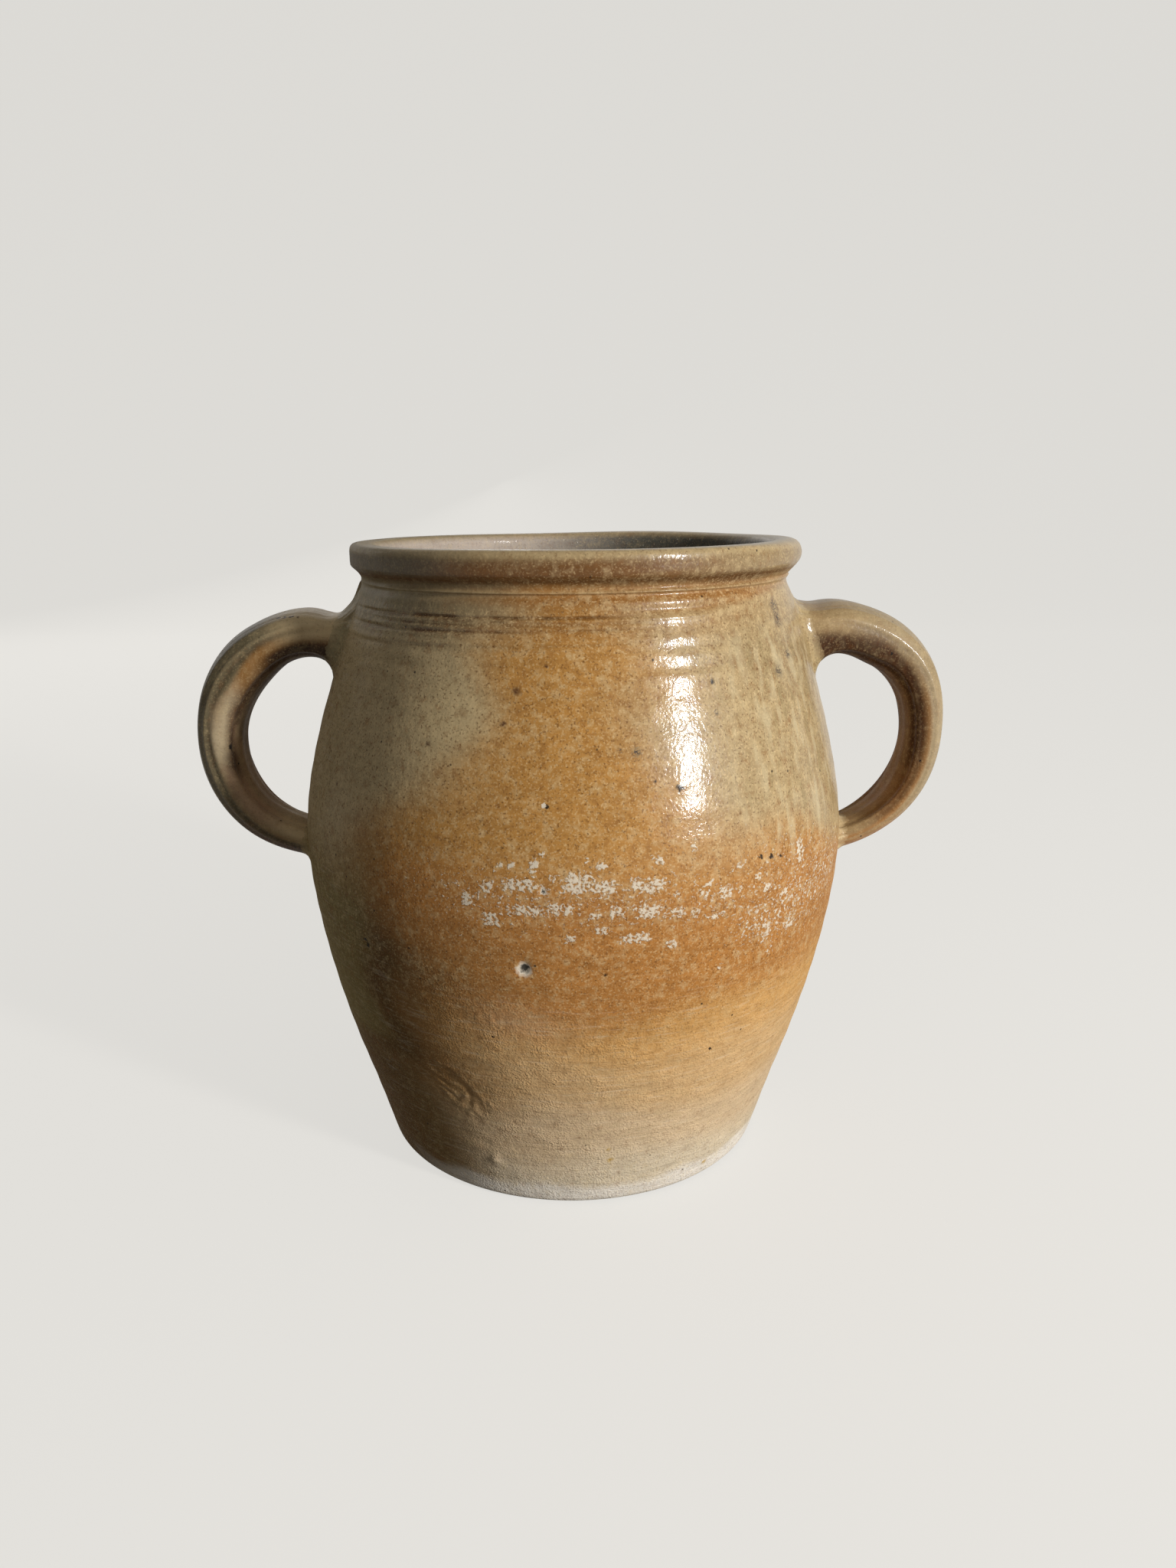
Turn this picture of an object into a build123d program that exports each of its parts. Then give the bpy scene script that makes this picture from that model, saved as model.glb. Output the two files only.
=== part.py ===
"""Two-handled stoneware pot: a thrown body, two pulled strap handles and their luting clay.

Lengths are in millimetres. +Z is up, X runs through both handles, and the origin is the
middle of the foot.
"""

import math
import os

from build123d import *

# Thrown pot, outside
pot_height = 200.0
foot_radius = 63.0
foot_edge_radius = 3.0
foot_lean_degrees = 16.5
belly_radius = 88.2
belly_height = 106.0
shoulder_lean_degrees = 18.0

# Tooled collar at the top of the shoulder
collar_radius = 67.9
collar_height = 13.0
ridge_radius = 0.6
groove_radius = 0.6
groove_shares = (0.30, 0.55, 0.66)

# Undercut neck and rolled lip, in from the collar and out from it
neck_undercut = 0.6
neck_height = 6.4
neck_share = 0.25
lip_overhang = 3.3
lip_height = 5.4
lip_edge_radius = 1.6

# Thrown pot, inside
neck_thickness = 5.4
wall_thickness = 6.5
floor_thickness = 9.0
floor_corner_radius = 10.0

# Pulled strap handles, thicker and wider at the shoulder than at the belly
handle_stand_off = 34.3
loop_radius = 36.0
left_handle_drop = 27.8
right_handle_drop = 26.2
strap_upper_thickness = 15.5
strap_lower_thickness = 8.5
strap_upper_width = 30.0
strap_lower_width = 21.0
strap_spans = 6

# Clay pressed round each end of a strap
luting_reach = 7.0
luting_spread = 7.0
luting_edge = 0.6
luting_reach_shares = (1.0, 0.4, -0.6)
luting_spread_shares = (0.0, 0.25, 1.0)

# How far a cut runs past the face that it opens
overrun = 5.0

QUARTER_TURN = 90.0
HALF_TURN = 180.0
FULL_TURN = 360.0

neck_radius = collar_radius - neck_undercut
lip_radius = collar_radius + lip_overhang
mouth_radius = collar_radius - neck_thickness
lip_low = pot_height - lip_height
collar_top = lip_low - neck_height
collar_base = collar_top - collar_height
shoulder_slope = math.tan(math.radians(shoulder_lean_degrees))
foot_slope = math.tan(math.radians(foot_lean_degrees))
collar_base_radius = collar_radius + collar_height * shoulder_slope
handle_reach = belly_radius + handle_stand_off
loop_centre = handle_reach - (strap_upper_thickness + strap_lower_thickness) / 4 - loop_radius
tail_start = min(mouth_radius, loop_centre - overrun)
span_length = math.pi * loop_radius / strap_spans
tail_spans = max(round((loop_centre - tail_start) / span_length), 1)


def at(radius, height):
    """Point of the pot's section, in the plane through both handles."""
    return Vector(radius, 0, height)


def turned(edges):
    """Solid of revolution about the pot's axis, from the closed outline of one half."""
    return revolve(make_face(edges), Axis.Z, FULL_TURN)


def wall_curve(foot, belly, shoulder):
    """Smooth wall through foot, belly and shoulder: it leans out, stands upright, then leans in."""
    return Spline(foot, belly, shoulder, tangents=(at(foot_slope, 1), at(0, 1), at(-shoulder_slope, 1)))


def pot_outside():
    """The pot as if solid: foot, wall, tooled collar, undercut neck and upright lip band."""
    wall = wall_curve(at(foot_radius, 0), at(belly_radius, belly_height), at(collar_base_radius, collar_base))
    collar = Line(at(collar_base_radius, collar_base), at(collar_radius, collar_top))
    neck = Spline(
        at(collar_radius, collar_top),
        at(neck_radius, collar_top + neck_height * neck_share),
        at(lip_radius, lip_low),
        tangents=(at(-shoulder_slope, 1), at(0, 1)),
    )
    lip = Polyline(
        at(lip_radius, lip_low),
        at(lip_radius, pot_height),
        at(0, pot_height),
        at(0, 0),
        at(foot_radius, 0),
    )
    body = turned([wall, collar, neck, *lip.edges()])
    body = fillet(body.edges().filter_by(GeomType.CIRCLE).group_by(Axis.Z)[0], foot_edge_radius)
    return body + Pos(0, 0, collar_top) * Torus(collar_radius, ridge_radius)


def pot_inside():
    """The hollow: a flat floor with a rounded corner, the wall's inner face and the mouth."""
    rim = pot_height + overrun
    wall = wall_curve(
        at(foot_radius - wall_thickness, floor_thickness),
        at(belly_radius - wall_thickness, belly_height),
        at(mouth_radius, collar_top),
    )
    mouth = Polyline(
        at(mouth_radius, collar_top),
        at(mouth_radius, rim),
        at(0, rim),
        at(0, floor_thickness),
        at(foot_radius - wall_thickness, floor_thickness),
    )
    hollow = turned([wall, *mouth.edges()])
    return fillet(hollow.edges().filter_by(GeomType.CIRCLE).group_by(Axis.Z)[0], floor_corner_radius)


def incised_lines():
    """Rings that cut the incised lines, each at its share of the collar's height."""
    rings = []
    for share in groove_shares:
        radius = collar_base_radius + (collar_radius - collar_base_radius) * share
        rings.append(Pos(0, 0, collar_base + collar_height * share) * Torus(radius, groove_radius))
    return rings


def thrown_pot(outside):
    """The thrown pot: hollowed, with its lip rounded and its lines incised."""
    pot = outside - pot_inside()
    pot = fillet(pot.edges().filter_by(GeomType.CIRCLE).group_by(Axis.Z)[-1], lip_edge_radius)
    return pot - incised_lines()


def wall_radius(outside, height):
    """Radius of the pot's outer wall at a height."""
    ray = Line(at(0, height), at(handle_reach, height))
    return (outside & ray).vertices().sort_by(Axis.X)[-1].X


def strap_section(side, loop_height, out, angle, spread=0):
    """Rounded strap section across the handle's line.

    The line is an arc about the loop's centre, and angle runs from a quarter turn at the
    shoulder to minus that at the belly. There the line goes on level, and out is how far
    from the pot's axis the section stands. spread widens the section on every side.
    """
    share = (QUARTER_TURN - angle) / HALF_TURN
    thickness = strap_upper_thickness + (strap_lower_thickness - strap_upper_thickness) * share
    width = strap_upper_width + (strap_lower_width - strap_upper_width) * share
    sine = math.sin(math.radians(angle))
    cosine = math.cos(math.radians(angle))
    plane = Plane(
        origin=(side * out, 0, loop_height + loop_radius * sine),
        x_dir=(0, 1, 0),
        z_dir=(side * sine, 0, -cosine),
    )
    return plane * SlotOverall(width + 2 * spread, thickness + 2 * spread)


def standing_clear(cut):
    """The solid that stands clear of the wall, without any slip of clay left inside it."""
    return cut.solids().sort_by(lambda solid: abs(solid.center().X))[-1]


def handle(outside, side, loop_height):
    """Pulled strap: a level tail at each end and a half turn between, cut by the pot's wall."""
    tail = [tail_start + (loop_centre - tail_start) * step / tail_spans for step in range(tail_spans)]
    sections = [strap_section(side, loop_height, out, QUARTER_TURN) for out in tail]
    for step in range(strap_spans + 1):
        angle = QUARTER_TURN - HALF_TURN * step / strap_spans
        out = loop_centre + loop_radius * math.cos(math.radians(angle))
        sections.append(strap_section(side, loop_height, out, angle))
    sections += [strap_section(side, loop_height, out, -QUARTER_TURN) for out in reversed(tail)]
    return standing_clear(loft(sections) - outside)


def luting(outside, strap, side, loop_height, end):
    """Clay that flares from the strap onto the wall, at the upper (1) or lower (-1) end."""
    root = wall_radius(outside, loop_height + end * loop_radius)
    sections = []
    for reach_share, spread_share in zip(luting_reach_shares, luting_spread_shares):
        out = root + luting_reach * reach_share
        cosine = min(max((out - loop_centre) / loop_radius, 0), 1)
        angle = end * math.degrees(math.acos(cosine))
        spread = luting_edge + luting_spread * spread_share
        sections.append(strap_section(side, loop_height, out, angle, spread))
    return standing_clear(loft(sections) - outside - strap)


def build():
    """All pieces, by node name."""
    outside = pot_outside()
    nodes = {"thrown_pot": thrown_pot(outside)}
    for name, side, drop in (("left", -1, left_handle_drop), ("right", 1, right_handle_drop)):
        loop_height = pot_height - drop - loop_radius
        strap = handle(outside, side, loop_height)
        nodes[f"{name}_handle"] = strap
        nodes[f"{name}_upper_luting"] = luting(outside, strap, side, loop_height, 1)
        nodes[f"{name}_lower_luting"] = luting(outside, strap, side, loop_height, -1)
    return nodes


os.makedirs("parts", exist_ok=True)
for node, piece in build().items():
    piece.label = node
    export_step(piece, f"parts/{node}.step")
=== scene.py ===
"""Two-handled stoneware pot: hand-formed surfaces, salt glaze, light and camera.

Forms are worked out in millimetres and turned into metres when a mesh is made. Angles round the
pot are in degrees from the front (-Y) towards the right (+X).
"""

import logging
import math
from dataclasses import dataclass, field
from enum import Enum

import bpy
import numpy as np
from mathutils import Euler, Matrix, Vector


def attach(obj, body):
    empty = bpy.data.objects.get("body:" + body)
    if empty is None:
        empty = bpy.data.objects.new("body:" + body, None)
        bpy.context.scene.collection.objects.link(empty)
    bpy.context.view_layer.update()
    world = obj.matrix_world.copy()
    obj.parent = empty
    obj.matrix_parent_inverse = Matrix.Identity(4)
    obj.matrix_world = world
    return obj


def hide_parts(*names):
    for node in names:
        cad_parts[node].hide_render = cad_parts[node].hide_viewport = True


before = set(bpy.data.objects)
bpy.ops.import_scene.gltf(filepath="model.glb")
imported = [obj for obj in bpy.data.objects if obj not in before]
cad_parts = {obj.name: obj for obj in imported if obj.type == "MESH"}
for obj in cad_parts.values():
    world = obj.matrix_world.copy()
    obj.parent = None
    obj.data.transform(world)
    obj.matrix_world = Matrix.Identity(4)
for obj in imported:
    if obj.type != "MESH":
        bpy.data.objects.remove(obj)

LOG = logging.getLogger("stoneware_pot")
MM = 0.001
DEGREE = math.radians(1)
MIRROR_FROM = 100.0
WEIGHTS = ("fleck", "gloss", "grain", "runs")
Array = np.ndarray
Knots = tuple[tuple[float, float], ...]
Runs = tuple[tuple[float, float, int], ...]
Shares = tuple[tuple[str, float], ...]
Inputs = dict[str | int, object]


class Side(Enum):
    """Which way a handle stands out along X."""

    LEFT = -1
    RIGHT = 1


class End(Enum):
    """Which end of a strap."""

    UPPER = 1
    LOWER = -1


class Tone(Enum):
    """Colour of a mark in the glaze, in hex."""

    PALE = "e9dcc6"
    BROWN = "53301a"
    SLATE = "453b33"
    IRON = "15100c"
    YELLOW = "c39a3c"

    @property
    def core(self) -> float:
        """Share of a mark's size within which its colour is full: little for a soft mark."""
        return 0.2 if self in (Tone.BROWN, Tone.SLATE, Tone.YELLOW) else 0.75


def linear(code: str) -> tuple[float, float, float]:
    """Turns an sRGB hex colour into linear light."""
    parts = [int(code[i : i + 2], 16) / 255 for i in (0, 2, 4)]
    return tuple(c / 12.92 if c <= 0.04045 else ((c + 0.055) / 1.055) ** 2.4 for c in parts)


def ease(low: float, high: float, x: Array) -> Array:
    """Smooth step of x from 0 at low to 1 at high, which may lie below low."""
    share = np.clip((np.asarray(x, float) - low) / (high - low), 0, 1)
    return share * share * (3 - 2 * share)


def hump(x: Array, centre: float, width: float) -> Array:
    """Bell over x: 1 at the centre, falling to 1/e at a width from it."""
    return np.exp(-(((np.asarray(x, float) - centre) / width) ** 2))


def curve(knots: Knots, x: Array) -> Array:
    """Smooth curve through knots: a cubic between each two, with slopes from the neighbours.

    Args:
        knots: (x, y) pairs in rising x.
        x: where to read the curve.

    Returns:
        y at each x.
    """
    kx, ky = np.array(knots, float).T
    slope = np.gradient(ky, kx)
    x = np.clip(np.asarray(x, float), kx[0], kx[-1])
    i = np.clip(np.searchsorted(kx, x, side="right") - 1, 0, len(kx) - 2)
    span = kx[i + 1] - kx[i]
    t = (x - kx[i]) / span
    rise = ky[i + 1] - ky[i]
    start, stop = slope[i] * span, slope[i + 1] * span
    return ky[i] + t * (start + t * (3 * rise - 2 * start - stop + t * (start + stop - 2 * rise)))


def path(knots: Knots, steps: int) -> Array:
    """Smooth path through points of the plane, evenly stepped along its knots' chords.

    Args:
        knots: (out, up) points.
        steps: how many points to return.

    Returns:
        Array of (out, up), shape (steps, 2).
    """
    points = np.array(knots, float)
    run = np.concatenate([[0], np.cumsum(np.hypot(*np.diff(points, axis=0).T))])
    at = np.linspace(0, run[-1], steps)
    return np.stack([curve(tuple(zip(run, points[:, k])), at) for k in (0, 1)], -1)


def strung(runs: Runs) -> Array:
    """Strings evenly stepped runs of (start, stop, steps) together."""
    return np.concatenate([np.linspace(*run, endpoint=False) for run in runs])


def pair(first: Array, second: Array) -> tuple[Array, ...]:
    """Brings two coordinates to one shape."""
    return tuple(np.broadcast_arrays(np.asarray(first, float), np.asarray(second, float)))


def polar(points: Array) -> tuple[Array, Array]:
    """Angle in degrees and distance from the axis of points, shape (..., 3)."""
    x, y = points[..., 0], points[..., 1]
    return np.degrees(np.arctan2(x, -y)), np.hypot(x, y)


def unit(vectors: Array) -> Array:
    """Scales vectors, shape (..., 3), to length 1."""
    return vectors / np.linalg.norm(vectors, axis=-1, keepdims=True)


def facing(angle: Array) -> Array:
    """Angle of the front that a place repeats: itself as far as the side, mirrored behind."""
    behind = np.sign(angle) * (180 - np.abs(angle)) * MIRROR_FROM / (180 - MIRROR_FROM)
    return np.where(np.abs(angle) > MIRROR_FROM, behind, angle)


def front_turn(around: Array) -> Array:
    """Degrees from a strap's outer face, where its back repeats its front."""
    return np.abs((around + 90) % 360 - 180)


def coated(base: str, zones: list[tuple[str, Array]]) -> Array:
    """Colour of a surface: a base colour, with zones laid over it in turn.

    Args:
        base: hex colour.
        zones: hex colour of each zone, and how much of it covers each point, from 0 to 1.

    Returns:
        Linear light, shape (..., 3).
    """
    colour = np.array(linear(base))
    for code, weight in zones:
        colour = colour + (np.array(linear(code)) - colour) * np.clip(weight, 0, 1)[..., None]
    return colour


@dataclass(frozen=True)
class Ripple:
    """Slow unevenness of handwork: a seeded sum of waves over two directions.

    Each wave is the sine of a whole number of turns of the first direction plus a share of the
    second, with its own phase, so the sum closes on itself round the pot.
    """

    seed: int
    waves: int = 7
    turns: int = 5
    length: float = 60.0
    pitches: tuple[float, float] = (0.4, 1.6)
    phases: tuple[float, float] = (0.0, 6.28)

    def at(self, angle: Array, along: Array) -> Array:
        """Reads the ripple.

        Args:
            angle: first direction, in degrees.
            along: second direction, in millimetres.

        Returns:
            Values mostly between -1 and 1.
        """
        rng = np.random.default_rng(self.seed)
        total = 0.0
        for _ in range(self.waves):
            turns = rng.integers(1, self.turns + 1)
            pitch = rng.uniform(*self.pitches) * 2 * math.pi / self.length
            phase = rng.uniform(*self.phases)
            total = total + np.sin(np.radians(angle) * turns + np.asarray(along) * pitch + phase)
        return total / math.sqrt(self.waves)


@dataclass(frozen=True)
class Crumble:
    """Irregular roughness: seeded random levels on a lattice, eased from one to the next."""

    seed: int
    cells: int = 64
    wide: float = 1.0
    tall: float = 1.0

    def at(self, u: Array, v: Array) -> Array:
        """Reads the roughness.

        Args:
            u: first direction, where wide is one lattice step.
            v: second direction, where tall is one lattice step.

        Returns:
            Values from -1 to 1.
        """
        u, v = pair(np.asarray(u) / self.wide, np.asarray(v) / self.tall)
        n = self.cells
        level = np.random.default_rng(self.seed).uniform(-1, 1, (n, n))
        i, j = np.floor(u).astype(int), np.floor(v).astype(int)
        p, q = ease(0, 1, u - i), ease(0, 1, v - j)
        low, high = (level[i % n, k % n] * (1 - p) + level[(i + 1) % n, k % n] * p for k in (j, j + 1))
        return low * (1 - q) + high * q


def grid_piece(name: str, points: Array, ring: bool = False) -> bpy.types.Object:
    """Makes one closed surface from a grid that closes on itself round its columns.

    Each square of four neighbouring points is a face. The rows close on themselves too if ring
    is set; otherwise each end is closed by a fan to the middle of its row.

    Args:
        name: node that the piece stands for.
        points: millimetres, shape (rows, columns, 3).
        ring: whether the last row joins the first.

    Returns:
        The new object, with faces outward.
    """
    rows, columns = points.shape[:2]
    index = np.arange(rows * columns).reshape(rows, columns)
    low, high = (index, np.roll(index, -1, 0)) if ring else (index[:-1], index[1:])
    quads = np.stack([low, np.roll(low, -1, 1), np.roll(high, -1, 1), high], -1).reshape(-1, 4)
    vertices = points.reshape(-1, 3)
    fans = np.empty((0, 3), int)
    if not ring:
        ends = np.stack([points[0].mean(0), points[-1].mean(0)])
        first, last = index[0], index[-1]
        tip = np.full(columns, rows * columns)
        fans = np.concatenate([
            np.stack([np.roll(first, -1), first, tip], -1),
            np.stack([last, np.roll(last, -1), tip + 1], -1),
        ])
        vertices = np.concatenate([vertices, ends])
    a, b, c, d = np.moveaxis(vertices[quads], 1, 0)
    volume = (a * np.cross(b, d)).sum() + (c * np.cross(d, b)).sum()
    if volume < 0:
        quads, fans = quads[:, ::-1], fans[:, ::-1]
    corners = np.concatenate([quads.ravel(), fans.ravel()])
    counts = np.concatenate([np.full(len(quads), 4), np.full(len(fans), 3)])
    starts = np.concatenate([[0], np.cumsum(counts)[:-1]])
    mesh = bpy.data.meshes.new(f"{name}_glazed")
    mesh.vertices.add(len(vertices))
    mesh.vertices.foreach_set("co", (vertices * MM).astype(np.float32).ravel())
    mesh.loops.add(len(corners))
    mesh.loops.foreach_set("vertex_index", corners.astype(np.int32))
    mesh.polygons.add(len(counts))
    mesh.polygons.foreach_set("loop_start", starts.astype(np.int32))
    mesh.polygons.foreach_set("use_smooth", np.ones(len(counts), bool))
    mesh.update(calc_edges=True)
    mesh.validate()
    piece = bpy.data.objects.new(mesh.name, mesh)
    bpy.context.scene.collection.objects.link(piece)
    LOG.info("%s: %d faces", name, len(counts))
    return piece


@dataclass
class Skin:
    """What the glaze does at each point of a surface: its colour and how it breaks up.

    colour is linear light; fleck, gloss, grain and runs are weights from 0 to 1.
    """

    colour: Array
    fleck: Array
    gloss: Array
    grain: Array
    runs: Array

    def mixed(self, other: "Skin", share: Array) -> "Skin":
        """Blends two skins.

        Args:
            other: the skin at share 1.
            share: weights from 0 to 1.

        Returns:
            The blended skin.
        """
        colour = self.colour + (other.colour - self.colour) * share[..., None]
        pairs = ((getattr(self, key), getattr(other, key)) for key in WEIGHTS)
        return Skin(colour, *(own + (new - own) * share for own, new in pairs))

    def put_on(self, piece: bpy.types.Object) -> None:
        """Stores the skin on a piece's points, the closing points of its ends included.

        Args:
            piece: object made from the same grid.
        """
        mesh = piece.data
        flat = self.colour.reshape(-1, 3)
        rgba = np.ones((len(mesh.vertices), 4), np.float32)
        rgba[: len(flat), :3] = flat
        if len(mesh.vertices) > len(flat):
            rgba[len(flat) :, :3] = flat[[0, -1]]
        mesh.attributes.new("glaze", "FLOAT_COLOR", "POINT").data.foreach_set("color", rgba.ravel())
        for key in WEIGHTS:
            values = np.zeros(len(mesh.vertices), np.float32)
            values[: len(flat)] = getattr(self, key).ravel()
            mesh.attributes.new(key, "FLOAT", "POINT").data.foreach_set("value", values)


@dataclass(frozen=True)
class Press:
    """A small place where the wall is pushed in, or out if depth is below zero."""

    angle: float
    height: float
    wide: float
    tall: float
    depth: float


@dataclass(frozen=True)
class Groove:
    """A line cut into the collar: its height at the front, rise per degree, depth and seed."""

    height: float
    rise: float
    depth: float
    seed: int
    width: float = 0.4
    burr: float = 0.3
    burr_drop: float = 0.85

    def level(self, angle: Array) -> Array:
        """Height of the line, which wanders a little, in millimetres."""
        wander = 0.25 * Ripple(self.seed, turns=4).at(angle, 0.0)
        return self.height + self.rise * np.clip(facing(angle), -60, 20) + wander

    def keen(self, angle: Array, middle: float) -> Array:
        """How clearly the line is cut along its length, about a middle value."""
        return np.clip(middle + 0.35 * Crumble(self.seed + 1, 90, 4.0).at(angle, 0.0), 0.1, 1.2)

    def cut(self, angle: Array, height: Array) -> Array:
        """Depth of the line's section: a bell cut in, less a lower bell raised below it.

        Args:
            angle: degrees.
            height: millimetres.

        Returns:
            Millimetres, positive inward.
        """
        level = self.level(angle)
        burr = self.burr * hump(height, level - self.burr_drop, self.width)
        return self.depth * self.keen(angle, 0.8) * (hump(height, level, self.width) - burr)

    def darkness(self, angle: Array, height: Array) -> Array:
        """How dark the line is, by its depth."""
        return self.depth * self.keen(angle, 0.5) * hump(height, self.level(angle), 0.42)


@dataclass(frozen=True)
class WallForm:
    """Outer wall of the pot: a smooth profile with tooled lines, throwing rings and dents.

    The radius at an angle and a height is the profile, plus bells for the tooled lines, plus
    fine rings and slow ripples, less a bell for each press.
    """

    profile: Knots = (
        (0, 63.0), (4, 64.3), (12, 66.8), (24, 70.5), (40, 75.75), (60, 81.35), (80, 85.6), (98, 88.0),
        (108, 88.35), (120, 87.3), (140, 83.1), (160, 77.2), (176, 72.1), (182, 69.9), (186, 68.4),
        (188.2, 67.85), (189.4, 67.8), (194, 68.0),
    )
    foot_rounding: float = 2.6
    tilt: float = 0.0117
    lean: float = 0.0045
    lean_from: float = 80.0
    ring_pace: float = 0.69
    ring_depth: float = 0.05
    wobble_depth: float = 0.16
    soft_ring_from: float = 169.5
    soft_ring_pace: float = 1.208
    soft_ring_depth: float = 0.08
    ripple_depth: float = 0.07
    ridge_height: float = 188.6
    ridge_rise: float = 0.75
    ridge_width: float = 0.42
    neck_height: float = 190.0
    ledge_height: float = 181.6
    ledge_from: float = 29.0
    ledge_slope: float = 0.13
    step_heights: tuple[float, float] = (174.6, 173.2)
    chain_height: float = 70.8
    scuff_angle: float = -28.5
    scuff_height: float = 41.5
    scuff_radius: float = 75.0
    scuff_slant: tuple[float, float] = (0.77, 0.64)
    lines: tuple[Groove, ...] = (
        Groove(182.0, 0.0, 1.0, 71),
        Groove(181.1, 0.0, 0.7, 74),
        Groove(180.2, 0.0, 0.5, 79),
        Groove(178.6, 0.01, 1.0, 77),
        Groove(175.2, 0.035, 0.4, 83),
    )
    presses: tuple[Press, ...] = (
        Press(-10.9, 88.3, 1.6, 1.9, 1.1),
        Press(-7.4, 111.2, 0.9, 0.9, 0.7),
        Press(28.2, 55.7, 0.9, 0.9, 0.8),
        Press(-47.0, 86.1, 1.5, 1.2, 0.7),
        Press(-22.5, 16.0, 1.5, 1.4, -0.8),
        Press(-24.5, 22.0, 2.2, 0.9, 0.5),
        Press(18.2, 137.4, 1.0, 0.8, -0.35),
    )

    def scored(self, front: Array) -> Array:
        """How deep the collar's lines are cut: deepest left of the front, faint on the right."""
        return 0.05 + 0.95 * ease(20, -6, front) * ease(-80, -45, front)

    def on_right(self, front: Array) -> Array:
        """Where a soft ledge takes the place of the collar's lines, from 0 to 1."""
        return ease(4, 22, front) * ease(84, 64, front)

    def ledge(self, front: Array) -> Array:
        """Height of that ledge in millimetres."""
        return self.ledge_height + self.ledge_slope * np.clip(front - self.ledge_from, 0, 30)

    def scuff(self, angle: Array, height: Array) -> Array:
        """Torn patch low on the left: ridges along a slanting strip, crumbled at its lower end.

        Args:
            angle: degrees.
            height: millimetres.

        Returns:
            Depth in millimetres, positive inward.
        """
        out, up = (angle - self.scuff_angle) * DEGREE * self.scuff_radius, height - self.scuff_height
        c, s = self.scuff_slant
        along, across = c * out - s * up, s * out + c * up
        bent = across + 1.2 + 0.9 * Crumble(81, wide=5, tall=5).at(along, across)
        inside = ease(12.6, 10.6, np.abs(along + 0.6)) * ease(6.4, 5.2, np.abs(bent))
        ridges = Crumble(82, wide=6, tall=1.25).at(along, bent)
        ridges = ridges + 0.5 * Crumble(83, wide=2.6, tall=1.1).at(along, bent)
        crumbs = Crumble(84, wide=2.2, tall=1.7).at(along, bent)
        crumbs = crumbs + 0.6 * Crumble(85, wide=1.3, tall=1.3).at(along, bent)
        rough = 0.26 * ridges * ease(9, -3, along) + 0.24 * crumbs * ease(-7, 5, along)
        crest = hump(bent, 5.7, 0.7) * ease(-13, -10, along) * ease(11.5, 9, along)
        broken = np.clip(0.5 + Crumble(86, wide=3.5).at(along, 0.0), 0, 1)
        return inside * (0.1 + rough) - 0.32 * crest * broken

    def radius(self, angle: Array, height: Array) -> Array:
        """Distance of the wall from the axis.

        Args:
            angle: degrees.
            height: millimetres.

        Returns:
            Millimetres.
        """
        angle, height = pair(angle, height)
        front = facing(angle)
        # Throwing rings and slow wobble of the body, soft rings and ripples of the shoulder
        body = ease(4, 14, height) * ease(176, 168, height)
        rings = np.sin(height * self.ring_pace + 1.6 * Ripple(5, length=70).at(angle, height))
        wobble = Ripple(11, turns=4, length=150).at(angle, height)
        soft = ease(161, 167, height) * ease(179, 177, height)
        turned = (height - self.soft_ring_from) * self.soft_ring_pace
        soft_rings = np.sin(turned + 0.3 * Ripple(6, turns=4).at(angle, height))
        shoulder = ease(146, 158, height) * ease(178, 172, height)
        ripples = Crumble(7, 80, 4.5, 4.5).at(angle, height)
        ripples = ripples + 0.5 * Crumble(8, 160, 2.25, 2.6).at(angle, height)
        radius = curve(self.profile, height)
        radius = radius + body * (self.ring_depth * rings + self.wobble_depth * wobble)
        radius = radius + self.soft_ring_depth * soft * soft_rings + self.ripple_depth * shoulder * ripples
        # Fine ridge of the collar, clear of the handles, and the neck above it
        clear = 1 - hump(np.abs(front), 90, 32)
        ridge = self.ridge_height
        tooled = self.ridge_rise * hump(height, ridge, self.ridge_width)
        tooled = tooled - 0.3 * hump(height, ridge - 1.1, 0.9)
        radius = radius + clear * (tooled + 0.4 * hump(height, ridge - 2.8, 1.3))
        radius = radius - 0.45 * hump(height, ridge - 2.4, 1.8) * hump(angle, 75, 25)
        filled = ease(10, 60, front) + 0.35 * ease(-10, -60, front)
        radius = radius + 0.8 * hump(height, self.neck_height, 1.4) * filled
        # Incised lines of the left, ledge of the right, step below the lines
        radius = radius - self.scored(front) * sum(line.cut(angle, height) for line in self.lines)
        past = height - self.ledge(front)
        radius = radius + self.on_right(front) * (0.4 * hump(past, 0, 1.1) - 0.3 * hump(past, 1.9, 1.0))
        edge, below = self.step_heights
        step = 0.3 * hump(height, edge, 0.9) - 0.2 * hump(height, below, 0.7)
        radius = radius + step * ease(14, -4, front)
        # A chain of crumbs, then dents, bumps and the torn patch
        chain = hump(height, self.chain_height, 0.7) * ease(-25, -21, angle) * ease(-9, -13, angle)
        radius = radius + 0.45 * chain * np.clip(Crumble(87, wide=0.9).at(angle, 0.0), 0, 1)
        for press in self.presses:
            out = (angle - press.angle) * DEGREE * radius
            radius = radius - press.depth * hump(out, 0, press.wide) * hump(height, press.height, press.tall)
        return radius - self.scuff(angle, height)

    def tipped(self, x: Array, height: Array) -> Array:
        """Height after the rim's slight tilt to the right."""
        return height + self.tilt * x * ease(110, 185, height)

    def point(self, angle: Array, height: Array, lift: Array = 0.0) -> Array:
        """Point of the wall, lifted off it by millimetres."""
        angle, height = pair(angle, height)
        return self.set_up(angle, self.radius(angle, height) + lift, height)

    def set_up(self, angle: Array, radius: Array, height: Array) -> Array:
        """Point at an angle, radius and height, with the rim's tilt and the pot's slight lean."""
        x, y = radius * np.sin(np.radians(angle)), -radius * np.cos(np.radians(angle))
        return np.stack([x + self.lean * (height - self.lean_from), y, self.tipped(x, height)], -1)


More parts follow.
